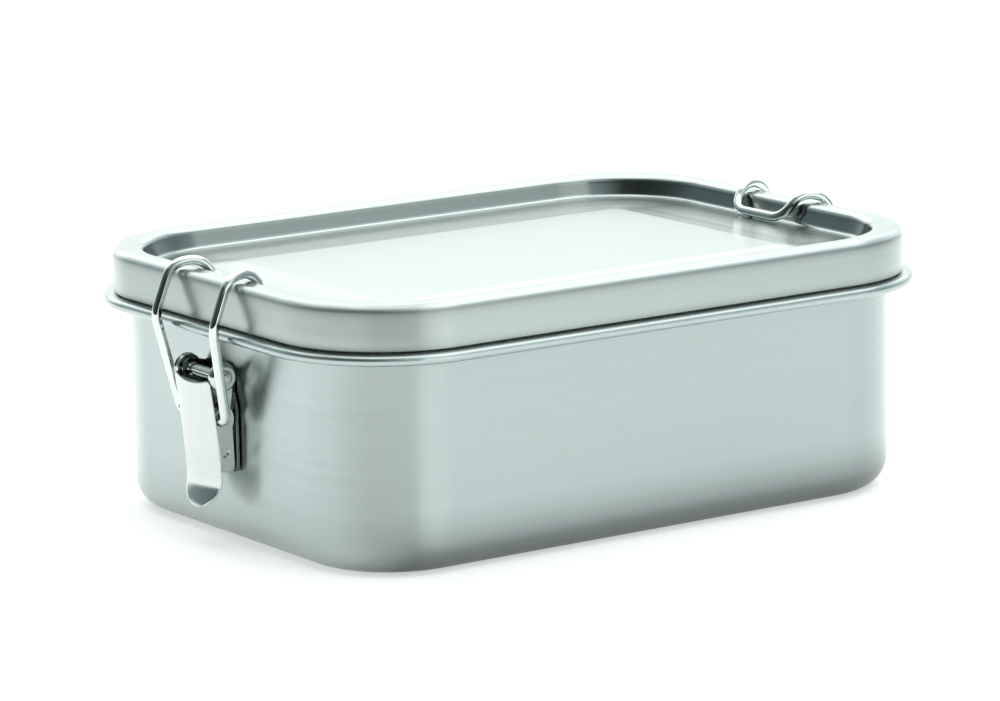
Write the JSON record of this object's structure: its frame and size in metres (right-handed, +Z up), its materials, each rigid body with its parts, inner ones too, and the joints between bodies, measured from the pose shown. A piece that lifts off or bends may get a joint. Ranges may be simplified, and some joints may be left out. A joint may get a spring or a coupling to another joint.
{
  "type": "lunch box",
  "caption": "Stainless-steel lunch box: deep-drawn tub with a rolled bead, a lift-off lid with a soft seal, and wire-bail toggle latches on the short ends.",
  "frame": {"origin": "centre of the base, on the surface that the box stands on", "axes": "+Z up, +X along the long side towards the right latch, -Y the long side that faces the viewer"},
  "size_m": [0.1826, 0.1298, 0.0658],
  "materials": {
    "brushed_steel": "satin, brushed along the rim",
    "polished_steel": "polished stainless steel",
    "silicone": "matt translucent white"
  },
  "bodies": {
    "tub": {"box_body": "brushed_steel", "left_bracket": "brushed_steel", "left_pivot_pin": "polished_steel", "right_bracket": "brushed_steel", "right_pivot_pin": "polished_steel"},
    "lid": {"lid_shell": "brushed_steel", "lid_seal": "silicone"},
    "left_lever": {"left_lever": "polished_steel"},
    "left_bail": {"left_wire_bail": "polished_steel"},
    "right_lever": {"right_lever": "polished_steel"},
    "right_bail": {"right_wire_bail": "polished_steel"}
  },
  "joints": [
    {"name": "lid_lift", "type": "slide", "parent": "tub", "child": "lid", "axis": [0, 0, 1], "range_m": [0, 0.06]},
    {"name": "left_lever_hinge", "type": "hinge", "parent": "tub", "child": "left_lever", "pos_m": [-0.0853, 0, 0.0407], "axis": [0, 1, 0], "range_deg": [0, 110], "deforming": ["left_wire_bail"]},
    {"name": "left_bail_hinge", "type": "hinge", "parent": "left_lever", "child": "left_bail", "pos_m": [-0.086, 0, 0.0307], "axis": [0, -1, 0], "range_deg": [0, 160]},
    {"name": "right_lever_hinge", "type": "hinge", "parent": "tub", "child": "right_lever", "pos_m": [0.0853, 0, 0.0407], "axis": [0, -1, 0], "range_deg": [0, 110], "deforming": ["right_wire_bail"]},
    {"name": "right_bail_hinge", "type": "hinge", "parent": "right_lever", "child": "right_bail", "pos_m": [0.086, 0, 0.0307], "axis": [0, 1, 0], "range_deg": [0, 160]}
  ],
  "couplings": [
    {"joint": "left_bail_hinge", "follows": "left_lever_hinge", "ratio": 1.45},
    {"joint": "right_bail_hinge", "follows": "right_lever_hinge", "ratio": 1.45}
  ]
}
